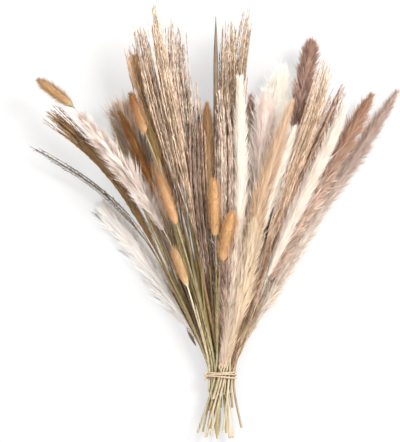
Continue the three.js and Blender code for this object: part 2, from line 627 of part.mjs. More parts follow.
// Short dense heads and strands are placed before the plumes, whose long barbs fill what room is left.
const order = { bunny: 0, foxtail: 1, blade: 2, reed: 3, plume: 4 };
for (const stalk of [...stalks].sort((a, b) => order[a.kind] - order[b.kind])) {
  let solid = bentLathe(stalk.rings, stalk.sides);
  const grown = stalk.strands ? strands(stalk) : stalk.barbs ? barbs(stalk) : [];
  for (const piece of grown) solid = solid.add(piece);
  solid = solid.subtract(surfaceSolid);
  stalk.mesh = toMesh(solid, stalk.name, stalk.tone);
}
stalks.forEach((stalk) => bunch.add(stalk.mesh));
bunch.add(toMesh(twineTie().subtract(surfaceSolid), "twine_tie", "jute"));

// The origin is the middle of the bunch's underside, on the surface that it lies on.
const extent = new THREE.Box3().setFromObject(bunch);
const middle = extent.getCenter(new THREE.Vector3());
bunch.position.set(-middle.x, -middle.y, -extent.min.z);

const group = new THREE.Group();
group.add(bunch);
group.updateMatrixWorld(true);

export default group;
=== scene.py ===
# A bunch of dried grasses: pampas-type plumes, reed sprays, bunny tails and foxtails, tied with jute
# twine and lying on a pale surface. Lengths are in metres, and MM turns millimetres into them.
import math
from functools import partial

import bpy
import numpy as np
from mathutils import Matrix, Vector


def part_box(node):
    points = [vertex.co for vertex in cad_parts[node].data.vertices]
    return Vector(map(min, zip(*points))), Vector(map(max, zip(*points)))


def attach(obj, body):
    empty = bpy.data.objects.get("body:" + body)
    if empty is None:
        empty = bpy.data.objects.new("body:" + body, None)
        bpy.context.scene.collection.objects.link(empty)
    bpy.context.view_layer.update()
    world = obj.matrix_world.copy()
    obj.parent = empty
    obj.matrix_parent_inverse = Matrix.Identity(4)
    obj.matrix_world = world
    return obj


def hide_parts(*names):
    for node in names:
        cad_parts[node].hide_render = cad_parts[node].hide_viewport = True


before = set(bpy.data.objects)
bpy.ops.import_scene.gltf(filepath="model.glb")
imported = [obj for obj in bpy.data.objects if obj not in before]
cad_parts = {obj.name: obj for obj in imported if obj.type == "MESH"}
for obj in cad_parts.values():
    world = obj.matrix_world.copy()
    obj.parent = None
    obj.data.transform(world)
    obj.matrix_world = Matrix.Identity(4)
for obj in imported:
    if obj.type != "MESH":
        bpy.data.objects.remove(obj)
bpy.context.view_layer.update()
MM = 0.001

# ---------------------------------------------------------------- camera, light and table top
# The bunch is seen from straight above, heads up, in the photograph's 400 by 442 frame. The key light
# comes from the upper right, so soft shadows fall to the left, on a white table top that reads as white.
CAMERA_HEIGHT = 6.0
LENS = 474 * MM
SENSOR = 36 * MM
FRAME_CENTRE = Vector((-14.7, 0.7, 0)) * MM

camera_data = bpy.data.cameras.new("camera")
camera_data.lens = LENS / MM
camera_data.sensor_width = SENSOR / MM
camera_data.clip_end = 20
camera = bpy.data.objects.new("camera", camera_data)
bpy.context.scene.collection.objects.link(camera)
camera.location = (FRAME_CENTRE.x, FRAME_CENTRE.y, CAMERA_HEIGHT)
bpy.context.scene.camera = camera


def colour(hex_code):
    """An sRGB hex colour as the linear red, green, blue and alpha that a node wants."""
    parts = [int(hex_code[i:i + 2], 16) / 255 for i in (1, 3, 5)]
    return [p / 12.92 if p <= 0.04045 else ((p + 0.055) / 1.055) ** 2.4 for p in parts] + [1]


def wire(node, *values, **named):
    """Fills a node's inputs: those in use one by one, or by name, with underscores for spaces. A value is a
    plain one, a hex colour, or what to link: a socket, a node for its first output in use, or a list."""
    in_use = [socket for socket in node.inputs if socket.enabled]
    by_name = {socket.name.replace(" ", "_"): socket for socket in reversed(in_use)}
    for socket, value in [*zip(in_use, values), *((by_name[name], named[name]) for name in named)]:
        for source in value if isinstance(value, list) else [value]:
            if isinstance(source, bpy.types.Node):
                source = next(output for output in source.outputs if output.enabled)
            if isinstance(source, bpy.types.NodeSocket):
                node.id_data.links.new(source, socket)
            else:
                is_colour = isinstance(source, str) and source.startswith("#")
                socket.default_value = colour(source) if is_colour else source
    return node


def add(tree, kind, *values, **named):
    """Adds a node and wires it. A kind of two words, such as "Math ADD", is a shader node and its operation.
    Names in small letters are the node's properties, and the others its inputs."""
    kind, _, operation = kind.partition(" ")
    node = tree.nodes.new("ShaderNode" + kind if operation else kind)
    if operation:
        node.operation = operation
    for name in [name for name in named if name.islower()]:
        setattr(node, name, named.pop(name))
    return wire(node, *values, **named)


def new_material(name):
    """An empty node material, with its output and a Principled shader joined to it."""
    material = bpy.data.materials.new(name)
    material.use_nodes = True
    tree = material.node_tree
    tree.nodes.clear()
    shader = add(tree, "ShaderNodeBsdfPrincipled")
    add(tree, "ShaderNodeOutputMaterial", Surface=shader)
    return material, tree, shader


def in_scene(made):
    """Links an object to the scene and gives it back."""
    bpy.context.scene.collection.objects.link(made)
    return made


def mesh_object(name, verts, edges=(), faces=(), **values):
    """A mesh object whose points carry a number under each of the given names."""
    mesh = bpy.data.meshes.new(name)
    mesh.from_pydata([tuple(v) for v in verts], edges, faces)
    for label, numbers in values.items():
        layer = mesh.attributes.new(label, "FLOAT", "POINT")
        layer.data.foreach_set("value", np.asarray(numbers, np.float32))
    return bpy.data.objects.new(name, mesh)


def area_light(name, place, size, power):
    """A square soft light at place, turned towards the middle of the bunch."""
    data = bpy.data.lights.new(name, "AREA")
    data.energy = power
    data.size = size
    light = bpy.data.objects.new(name, data)
    light.location = place
    light.rotation_euler = Vector(place).to_track_quat("Z", "Y").to_euler()
    in_scene(light)


area_light("key_light", (0.9, 0.65, 1.45), 0.6, 34)
area_light("fill_light", (-1.0, -0.8, 1.8), 1.6, 2)

world = bpy.data.worlds.new("studio")
world.use_nodes = True
wire(world.node_tree.nodes["Background"], Color="#ffffff", Strength=1.45)
bpy.context.scene.world = world
bpy.context.scene.view_settings.view_transform = "Standard"

# The table top glows a little, though it is no lamp: a painted glow that lifts the shadows on it and lights
# the grass from below.
table_paint, tree, shader = new_material("table top with painted glow")
wire(shader, Base_Color="#8a8a8a", Roughness=0.9, Specular_IOR_Level=0.1, Emission_Color="#f8f7f6",
     Emission_Strength=0.56)
TABLE_HALF = 6
table_top = in_scene(mesh_object("table_top", [(x * TABLE_HALF, y * TABLE_HALF, 0) for x, y in
                                               ((-1, -1), (1, -1), (1, 1), (-1, 1))], [], [(0, 1, 2, 3)]))
table_top.data.materials.append(table_paint)

# ---------------------------------------------------------------- stems
# A grass stem is a hollow straw, ridged along its length, olive where it was cut green and straw-coloured
# above. Each runs where its CAD stalk runs: planes square to the bunch cut the solid, and the middle of
# the cut nearest to where the stalk was heading is the next point of its line.
STEM_RADIUS = 1.2 * MM
CUT_STEP = 4 * MM           # from one cutting plane to the next
LOST = 3 * MM               # a cut farther than this from where the stalk was heading isn't its own
SMOOTHINGS = 40
FLOOR_GAP = 0.15 * MM       # nothing lies nearer to the table top than this
TIE_LOW, TIE_HIGH = (corner.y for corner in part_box("twine_tie"))
TIE_Y = (TIE_LOW + TIE_HIGH) / 2


def cut_loops(triangles, y):
    """Middles of the outlines that the plane at y cuts from a solid's triangles, as (x, z) pairs."""
    side = triangles[:, :, 1] - y
    crossing = triangles[(side.min(1) < 0) & (side.max(1) > 0)]
    ends = []
    for triangle in crossing:
        points = []
        for a, b in ((0, 1), (1, 2), (2, 0)):
            da, db = triangle[a, 1] - y, triangle[b, 1] - y
            if (da < 0) != (db < 0):
                points.append(triangle[a] + (triangle[b] - triangle[a]) * da / (da - db))
        ends.append([(p[0], p[2]) for p in points[:2]])
    loops = []
    group_of = {}
    for first, second in ends:
        keys = [tuple(np.round(np.array(p) / (0.002 * MM)).astype(int)) for p in (first, second)]
        found = sorted({group_of[k] for k in keys if k in group_of})
        if found:
            target = found[0]
            for other in found[1:]:
                loops[target] += loops[other]
                loops[other] = []
                group_of.update({k: target for k, g in group_of.items() if g == other})
        else:
            target = len(loops)
            loops.append([])
        loops[target].append((first, second))
        group_of.update({k: target for k in keys})
    middles = []
    for loop in loops:
        if loop:
            pairs = np.array(loop)
            weight = np.linalg.norm(pairs[:, 0] - pairs[:, 1], axis=1) + 1e-12
            middles.append((pairs.mean(1) * weight[:, None]).sum(0) / weight.sum())
    return middles


def smoothed(line, times):
    """Evens out a line of points in place, and keeps its ends."""
    for _ in range(times):
        line[1:-1] = (line[:-2] + 2 * line[1:-1] + line[2:]) / 4
    return line


def stalk_line(node):
    """Points up the middle of a CAD stalk, from its cut end to its tip, smoothed over its facets."""
    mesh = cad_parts[node].data
    mesh.calc_loop_triangles()
    places = np.array([v.co for v in mesh.vertices])
    triangles = places[np.array([t.vertices for t in mesh.loop_triangles])]
    low, high = places[:, 1].min(), places[:, 1].max()
    line = []
    for y in np.arange(low + 0.3 * MM, high, CUT_STEP):
        middles = cut_loops(triangles, y)
        if not middles:
            break
        if len(line) < 2:
            guess = np.mean(middles, axis=0)
        else:
            guess = 2 * line[-1][[0, 2]] - line[-2][[0, 2]]
        nearest = min(middles, key=lambda m: np.hypot(*(m - guess)))
        if len(line) >= 2 and np.hypot(*(nearest - guess)) > LOST:
            break
        line.append(np.array([nearest[0], y, nearest[1]]))
    return smoothed(np.array(line), SMOOTHINGS)


def steps_along(line):
    """Distance along a line at each of its points."""
    return np.concatenate([[0], np.cumsum(np.linalg.norm(np.diff(line, axis=0), axis=1))])


def at_level(line, y):
    """The point where a stalk's line crosses the plane at y."""
    return np.array([np.interp(y, line[:, 1], line[:, k]) for k in range(3)])


def noise(tree, scale, detail, stretch=None):
    """Noise in the piece's own space, which stretch may pull out along an axis."""
    place = add(tree, "ShaderNodeTexCoord").outputs["Object"]
    if stretch:
        place = add(tree, "ShaderNodeMapping", place, Scale=stretch)
    return add(tree, "ShaderNodeTexNoise", place, Scale=scale, Detail=detail)


THIN = 0.35                 # share of the light that a dry hair lets through
DARKEST = 0.85              # how far the dark locks turn to their dark colour
TOP_RANGE = (0.4, 0.8)      # from where to where up a head its top colour comes in
MOST_TOP = 0.75             # and how far its hair turns to it


def dried_grass(name, root, tip, dark, dark_range, top=None):
    """Dry grass fibre: matt, a little silky, and thin enough that light comes through. It is darker where
    the hairs leave the head, and each hair has a shade of its own. 'along' runs 0 to 1 up a hair, and
    'place' up the head, which may turn to a top colour."""
    material, tree, shader = new_material(name)
    shade, along, place = (add(tree, "ShaderNodeAttribute", attribute_name=label).outputs["Fac"]
                           for label in ("shade", "along", "place"))
    shades = add(tree, "Math ADD", shade, noise(tree, 55.0, 3.0))
    darkness = add(tree, "ShaderNodeMapRange", shades, *dark_range, To_Max=DARKEST)
    paint = add(tree, "ShaderNodeMix", along, root, tip, data_type="RGBA")
    paint = add(tree, "ShaderNodeMix", darkness, paint, dark, data_type="RGBA")
    if top:
        upper = add(tree, "ShaderNodeMapRange", place, *TOP_RANGE, To_Max=MOST_TOP)
        paint = add(tree, "ShaderNodeMix", upper, paint, top, data_type="RGBA")
    wire(shader, Base_Color=paint, Roughness=0.8, Specular_IOR_Level=0.25, Sheen_Weight=0.25,
         Sheen_Roughness=0.5)
    through = add(tree, "ShaderNodeBsdfTranslucent", Color=paint)
    wire(tree.nodes["Material Output"], Surface=add(tree, "ShaderNodeMixShader", THIN, shader, through))
    return material


def straw(name, low, high, dark):
    """A dried stem: waxy straw, finely ridged all round, with darker streaks along its length."""
    material, tree, shader = new_material(name)
    streaks = noise(tree, 1.0, 2.0, (900.0, 24.0, 900.0))
    darkness = add(tree, "ShaderNodeMapRange", streaks, 0.45, 0.75)
    along = add(tree, "ShaderNodeAttribute", attribute_name="along").outputs["Fac"]
    paint = add(tree, "ShaderNodeMix", along, low, high, data_type="RGBA")
    paint = add(tree, "ShaderNodeMix", darkness, paint, dark, data_type="RGBA")
    bump = add(tree, "ShaderNodeBump", Height=streaks, Strength=0.4, Distance=0.15 * MM)
    wire(shader, Base_Color=paint, Roughness=0.5, Normal=bump)
    return material


# Each kind of straw: its colour low down, high up and in its streaks, and the same for its leaves.
STRAW_COLOURS = {
    "olive": ("#a99c78", "#9c8b62", "#625336", "#948358", "#7c6a48", "#4c3f26"),
    "pale": ("#b3a484", "#dccfb8", "#80704f", "#b5a27c", "#c0ae8e", "#86704c"),
    "golden": ("#9c8860", "#a67a3c", "#614726", "#a0855a", "#906e44", "#5c4224"),
    "brown": ("#9c8462", "#946d49", "#5b4029", "#7d6247", "#735842", "#402e20"),
}
STRAWS = {kind: straw(kind + " straw", *colours[:3]) for kind, colours in STRAW_COLOURS.items()}
LEAVES = {kind: straw(kind + " leaf", *colours[3:]) for kind, colours in STRAW_COLOURS.items()}

# ---------------------------------------------------------------- hairy heads: plumes, bunny tails, foxtails
# A head is a slim core set all round with soft hairs that lean towards the tip. A plume's hairs grow in
# locks, a bunny tail's are short and even, and a foxtail's are bristles pressed close to a thin spike.
# One Geometry Nodes tree makes them: it walks along the head's line and stands a hair at each place.


def hair_shape(name, rings, bend):
    """One hair of length 1 along +Z, whose tip bends over to +X: a three-sided needle through rings of a
    height and a radius each."""
    verts, along = [], []
    for height, radius in rings:
        for turn in (0, 2 * math.pi / 3, 4 * math.pi / 3):
            verts.append((bend * height ** 2 + radius * math.cos(turn), radius * math.sin(turn), height))
            along.append(height)
    last = len(verts) - 3
    faces = [(ring + i, ring + (i + 1) % 3, ring + (i + 1) % 3 + 3, ring + i + 3)
             for ring in range(0, last, 3) for i in range(3)]
    faces += [(last + i, last + (i + 1) % 3, last + 3) for i in range(3)] + [(2, 1, 0)]
    return mesh_object(name, verts + [(bend, 0, 1)], [], faces, along=along + [1])


HAIR = hair_shape("hair", [(0, 0.011), (0.5, 0.0125)], 0.16)
BRISTLE = hair_shape("bristle", [(0, 0.02)], 0)
SPIKELET = hair_shape("spikelet", [(0, 0.012), (0.5, 0.034)], 0.1)


def new_tree(name, *inputs):
    """A Geometry Nodes tree that takes and gives a geometry, and its inputs. Each row of inputs is a kind
    of socket and the names of the sockets of that kind."""
    tree = bpy.data.node_groups.new(name, "GeometryNodeTree")
    for in_out in ("INPUT", "OUTPUT"):
        tree.interface.new_socket("Geometry", in_out=in_out, socket_type="NodeSocketGeometry")
    for kind, *labels in inputs:
        for label in labels:
            tree.interface.new_socket(label, in_out="INPUT", socket_type="NodeSocket" + kind)
    return tree, tree.nodes.new("NodeGroupInput").outputs


def drawn(tree, low, high, stream, number=None):
    """A random number between low and high, one for each point, or for each whole number given. The tree's
    Seed and the stream set which numbers come."""
    seed = add(tree, "Math ADD", tree.nodes["Group Input"].outputs["Seed"], stream)
    made = add(tree, "FunctionNodeRandomValue", low, high, Seed=seed)
    return made if number is None else wire(made, ID=number)


def on_line(tree, line, share, name="thick"):
    """At a share of the line's length: the number that its points carry under the name, the place and the
    line's direction."""
    number = add(tree, "GeometryNodeInputNamedAttribute", name)
    found = add(tree, "GeometryNodeSampleCurve", line, number, Factor=share).outputs
    return found["Value"], found["Position"], found["Tangent"]


def stood(tree, points, shape, size, direction, curl=None):
    """A copy of the shape at each point, with its +Z along the direction and its +X turned to the curl."""
    turn = add(tree, "FunctionNodeAlignRotationToVector", Vector=direction, axis="Z")
    if curl is not None:
        turn = add(tree, "FunctionNodeAlignRotationToVector", turn, Vector=curl, axis="X", pivot_axis="Z")
    pattern = add(tree, "GeometryNodeObjectInfo", shape).outputs["Geometry"]
    copies = add(tree, "GeometryNodeInstanceOnPoints", points, Instance=pattern, Rotation=turn, Scale=size)
    return add(tree, "GeometryNodeRealizeInstances", copies)


def swept_ring(tree, line, sides, radius):
    """A closed round bar along a line."""
    ring = add(tree, "GeometryNodeCurvePrimitiveCircle", sides, Radius=1.0)
    return add(tree, "GeometryNodeCurveToMesh", line, ring, Scale=radius, Fill_Caps=True)


def stalk_body(tree, line, given):
    """The stem and the head's core: a round sweep along the line, as thick as its points say."""
    thick, head = (add(tree, "GeometryNodeInputNamedAttribute", label) for label in ("thick", "head"))
    bar = add(tree, "GeometryNodeSetShadeSmooth", swept_ring(tree, line, 7, thick))
    stem = add(tree, "GeometryNodeSetMaterial", bar, Material=given["Stem material"])
    in_head = add(tree, "FunctionNodeCompare", head, 0.5, operation="GREATER_THAN")
    return add(tree, "GeometryNodeSetMaterial", stem, in_head, given["Head material"])


def above_table(tree, geometry):
    """Lays whatever would reach through the table top flat on it."""
    x, y, z = add(tree, "ShaderNodeSeparateXYZ", add(tree, "GeometryNodeInputPosition")).outputs
    lifted = add(tree, "ShaderNodeCombineXYZ", x, y, add(tree, "Math MAXIMUM", z, FLOOR_GAP))
    return add(tree, "GeometryNodeSetPosition", geometry, Position=lifted)


LEAF_WIDTH = 0.018          # half of a leaf's width, and how far it curls, as shares of its length
LEAF_CURL = 0.03
LONGEST_LEAF = 110 * MM
LOWEST_LEAF = 12 * MM       # from the tie to where the lowest leaf leaves the stem
LEAF_ROOM = 45 * MM         # a stem with less than this from there to its head carries no leaf


def leaf_shape():
    """One dried side leaf of length 1 along +Z: a thin strip, pointed at its tip and curled out to +X."""
    verts, along = [], []
    for height, share in ((0.0, 0.5), (0.12, 0.9), (0.35, 1.0), (0.6, 0.8), (0.85, 0.45), (1.0, 0.06)):
        curl = LEAF_CURL * height ** 2
        wide, high = LEAF_WIDTH * share, LEAF_WIDTH * 0.25 * share
        verts += [(curl + high, 0, height), (curl, wide, height), (curl - high, 0, height),
                  (curl, -wide, height)]
        along += [height] * 4
    faces = [(ring + k, ring + (k + 1) % 4, ring + (k + 1) % 4 + 4, ring + k + 4)
             for ring in range(0, len(verts) - 4, 4) for k in range(4)]
    faces += [(3, 2, 1, 0), tuple(range(len(verts) - 4, len(verts)))]
    return mesh_object("leaf_shape", verts, [], faces, along=along)


LEAF = leaf_shape()
STALK_INPUTS = (("Int", "Seed", "Leaves"), ("Float", "Head share", "Leaf from", "Leaf to", "Leaf length"),
                ("Object", "Leaf"), ("Material", "Stem material", "Leaf material", "Head material"))


def side_leaves(tree, line, given):
    """Thin dried leaves that leave the stem between the tie and the head, and run up beside it."""
    node, draw = partial(add, tree), partial(drawn, tree)
    width = node("Math SUBTRACT", given["Leaf to"], given["Leaf from"])
    share = node("Math ADD", given["Leaf from"], node("Math MULTIPLY", width, draw(0.0, 1.0, 41)))
    _, place, tangent = on_line(tree, line, share)
    outward = node("ShaderNodeVectorRotate", node("VectorMath CROSS_PRODUCT", tangent, (0, 0, 1)),
                   Axis=tangent, Angle=draw(0.0, 2 * math.pi, 42), rotation_type="AXIS_ANGLE")
    away = node("VectorMath SCALE", outward, draw(0.02, 0.10, 43))
    spots = node("GeometryNodeSetPosition", node("GeometryNodePoints", given["Leaves"]), Position=place)
    shaded = node("GeometryNodeStoreNamedAttribute", spots, Name="shade", Value=draw(0.0, 1.0, 44))
    size = node("Math MULTIPLY", given["Leaf length"], draw(0.6, 1.1, 45))
    leaves = stood(tree, shaded, given["Leaf"], size, node("VectorMath ADD", tangent, away), outward)
    return node("GeometryNodeSetMaterial", leaves, Material=given["Leaf material"])


def leaf_settings(line, head_share, leaves=8):
    """Where a stalk's leaves leave it: above the tie, and low enough that they end where its head begins."""
    run = steps_along(line)
    low = np.interp(TIE_Y + LOWEST_LEAF, line[:, 1], run)
    room = run[-1] * (1 - head_share) - low
    longest = min(LONGEST_LEAF, max(room, 0) * 0.8)
    return {"Leaves": leaves if room > LEAF_ROOM else 0, "Leaf": LEAF, "Leaf length": longest,
            "Leaf from": float(low / run[-1]), "Leaf to": float((low + max(room - longest, MM)) / run[-1])}


def new_stalk(name, *inputs):
    """A tree for a kind of stalk: the tree, its inputs, the stalk's line, and add and drawn for this tree."""
    tree, given = new_tree(name, *STALK_INPUTS, *inputs)
    line = add(tree, "GeometryNodeMeshToCurve", given["Geometry"])
    return tree, given, line, partial(add, tree), partial(drawn, tree)


def head_to_line(tree, given, place):
    """A place on the head, 0 to 1, as a share of the whole stalk's line."""
    below = add(tree, "Math SUBTRACT", 1.0, given["Head share"])
    return add(tree, "Math ADD", below, add(tree, "Math MULTIPLY", place, given["Head share"]))


def close_stalk(tree, given, line, body, grown):
    """Ends a stalk's tree with what grew on its head, its body and its leaves."""
    head = add(tree, "GeometryNodeSetMaterial", above_table(tree, grown), Material=given["Head material"])
    leaves = above_table(tree, side_leaves(tree, line, given))
    add(tree, "NodeGroupOutput", add(tree, "GeometryNodeJoinGeometry", [head, body, leaves]))
    return tree


GOLDEN_ANGLE = 2.39996      # the turn from one lock, or branch, to the next
LEAST_LEAN = 0.06
LEAST_GAP = 0.8 * MM        # from where a hair is rooted to the head's outline
STRAYS = 0.05               # share of the hairs that stray, and how much longer they are
STRAY_LONGER = 0.4


def head_tree():
    """Grows a stalk with a hairy head on its line."""
    tree, given, line, node, draw = new_stalk(
        "hairy head", ("Int", "Hairs", "Hairs in a lock"), ("Object", "Hair"),
        ("Float", "Lean", "Ragged", "Lock spread", "Droop", "Shortest"))

    # One point for each hair. Hairs with the same lock number share their place and direction, nearly.
    number = node("GeometryNodeInputIndex")
    lock = node("Math FLOOR", node("Math DIVIDE", number, given["Hairs in a lock"]))
    locks = node("Math DIVIDE", given["Hairs"], given["Hairs in a lock"])
    place = node("Math DIVIDE", node("Math ADD", lock, 0.5), locks)
    place = node("Math ADD", place, draw(-0.03, 0.03, 11))
    place = node("Math MINIMUM", node("Math MAXIMUM", place, 0.0), 1.0)
    share = head_to_line(tree, given, place)
    thick, centre, tangent = on_line(tree, line, share)
    reach = on_line(tree, line, share, "reach")[0]

    # Outward direction: square to the line, turned by the golden angle from lock to lock.
    across = node("VectorMath NORMALIZE", node("VectorMath CROSS_PRODUCT", tangent, (0, 0, 1)))
    turn = node("Math ADD", node("Math MULTIPLY", lock, GOLDEN_ANGLE), draw(-0.8, 0.8, 12, lock))
    astray = node("Math MULTIPLY", draw(-1.0, 1.0, 13), given["Lock spread"])
    outward = node("ShaderNodeVectorRotate", across, Axis=tangent, Angle=node("Math ADD", turn, astray),
                   rotation_type="AXIS_ANGLE")

    # A lock leans out of the head, and its own hairs spread a little round that lean.
    lean = node("Math MULTIPLY", given["Lean"], draw(0.6, 1.35, 14, lock))
    spread = node("Math MULTIPLY", draw(-0.5, 0.5, 15), given["Lock spread"])
    lean = node("Math MAXIMUM", node("Math ADD", lean, spread), LEAST_LEAN)
    direction = node("VectorMath ADD", node("VectorMath SCALE", tangent, node("Math COSINE", lean)),
                     node("VectorMath SCALE", outward, node("Math SINE", lean)))
    drooping = node("ShaderNodeCombineXYZ", Z=node("Math MULTIPLY", given["Droop"], -1.0))
    direction = node("VectorMath ADD", direction, drooping)

    # A hair is rooted in the core and long enough for the head's outline, more or less.
    inset = node("Math MULTIPLY", thick, 0.55)
    root = node("VectorMath ADD", centre, node("VectorMath SCALE", outward, inset))
    gap = node("Math MAXIMUM", node("Math SUBTRACT", reach, inset), LEAST_GAP)
    length = node("Math DIVIDE", gap, node("Math SINE", given["Lean"]))
    length = node("Math MAXIMUM", length, given["Shortest"])
    uneven = node("Math SUBTRACT", 1.1, node("Math MULTIPLY", given["Ragged"], draw(0.0, 1.0, 16)))
    length = node("Math MULTIPLY", node("Math MULTIPLY", length, uneven), draw(0.8, 1.1, 17, lock))
    stray = node("Math GREATER_THAN", draw(0.0, 1.0, 20), 1 - STRAYS)
    stray = node("Math MULTIPLY", stray, STRAY_LONGER)
    length = node("Math MULTIPLY", length, node("Math ADD", 1.0, stray))

    shade = node("Math ADD", node("Math MULTIPLY", draw(0.0, 1.0, 18), 0.5),
                 node("Math MULTIPLY", draw(0.0, 1.0, 19, lock), 0.5))
    points = node("GeometryNodeSetPosition", node("GeometryNodePoints", given["Hairs"]), Position=root)
    points = node("GeometryNodeStoreNamedAttribute", points, Name="shade", Value=shade)
    points = node("GeometryNodeStoreNamedAttribute", points, Name="place", Value=place)
    hairs = stood(tree, points, given["Hair"], length, direction, tangent)
    return close_stalk(tree, given, line, above_table(tree, stalk_body(tree, line, given)), hairs)


HEAD_TREE = head_tree()


def stem_radius(line):
    """A stem's radius along its line: full up to the tie, then thinner towards the head."""
    above = np.clip((line[:, 1] - TIE_Y) / (150 * MM), 0, 1)
    return STEM_RADIUS * (1 - 0.45 * above)


def line_object(name, line, thick, reach, share):
    """A line of points as a mesh of edges, with the stalk's thickness and the head's reach at each, and
    its share of the head, which is below 0 on the stem."""
    height = np.linspace(0, 1, len(line))
    edges = [(i, i + 1) for i in range(len(line) - 1)]
    return in_scene(mesh_object(name, line, edges, thick=thick, reach=reach, head=share > 0, along=height,
                                place=np.clip(share, 0, 1), shade=height * 0 + 0.5))


def grow(made, tree, settings):
    """Runs a Geometry Nodes tree on an object and keeps the result as its plain mesh."""
    modifier = made.modifiers.new("grow", "NODES")
    modifier.node_group = tree
    for item in tree.interface.items_tree:
        if item.in_out == "INPUT" and item.name in settings:
            modifier[item.identifier] = settings[item.name]
    bpy.context.view_layer.update()
    mesh = bpy.data.meshes.new_from_object(made.evaluated_get(bpy.context.evaluated_depsgraph_get()))
    made.modifiers.remove(modifier)
    made.data = mesh


def set_in_place(made, node):
    """The piece rides on the bunch and stands for its CAD stalk, which is hidden."""
    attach(made, "root")
    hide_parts(node)


def head_profile(share, swell, taper):
    """How full a head is along its length: it swells over the first part and rounds off over the last."""
    share = np.clip(share, 0, 1)
    start = np.clip(share / swell, 0, 1)
    end = np.clip((share - 1 + taper) / taper, 0, 1)
    return (1 - (1 - start) ** 2) ** 0.5 * (1 - 0.97 * end ** 2) ** 0.5


# How each kind of head grows: its hair, how many hairs grow in a lock, how far they lean, how uneven they
# are, how far a lock spreads, how far it droops and the shortest hair in millimetres. Then hairs per square
# centimetre of side view, the core as a share of the width, over what shares of its length the head swells
# and rounds off, at what shades its hair turns dark, and how many cut steps at the tip only hairs reach.
HEADS = {
    "plume": (HAIR, 9, 0.42, 0.6, 0.3, 0.04, 11, 230, 0.30, 0.35, 0.5, (1.0, 1.75), 2),
    "even plume": (HAIR, 9, 0.46, 0.6, 0.35, 0.04, 10, 260, 0.30, 0.3, 0.45, (1.0, 1.75), 1),
    "seedy plume": (SPIKELET, 5, 0.6, 0.7, 0.5, 0.0, 7, 200, 0.25, 0.3, 0.3, (0.75, 1.35), 1),
    "long plume": (HAIR, 6, 0.5, 0.65, 0.4, 0.02, 8, 280, 0.28, 0.12, 0.7, (0.9, 1.6), 1),
    "tufted plume": (HAIR, 26, 0.62, 0.7, 0.22, 0.02, 6, 240, 0.25, 0.35, 0.6, (0.9, 1.5), 2),
    "brush plume": (HAIR, 14, 0.5, 0.7, 0.25, 0.02, 12, 220, 0.25, 0.4, 0.2, (1.0, 1.6), 1),
    "blunt plume": (HAIR, 8, 0.55, 0.6, 0.35, 0.0, 9, 300, 0.30, 0.25, 0.15, (1.0, 1.75), 0),
    "soft plume": (HAIR, 5, 0.75, 0.6, 0.5, 0.0, 11, 300, 0.35, 0.3, 0.5, (1.0, 1.75), 1),
    "low plume": (HAIR, 12, 0.45, 0.7, 0.3, 0.0, 9, 300, 0.25, 0.04, 0.7, (0.9, 1.55), 1),
    "bunny": (BRISTLE, 2, 0.7, 0.8, 0.6, 0.0, 5, 480, 0.55, 0.16, 0.6, (1.0, 1.75), 0),
    "blunt bunny": (BRISTLE, 2, 0.7, 0.8, 0.6, 0.0, 5, 480, 0.55, 0.16, 0.4, (1.0, 1.75), 0),
    "foxtail": (BRISTLE, 2, 0.34, 0.5, 0.5, 0.0, 7, 420, 0.45, 0.2, 0.5, (1.0, 1.75), 0),
}

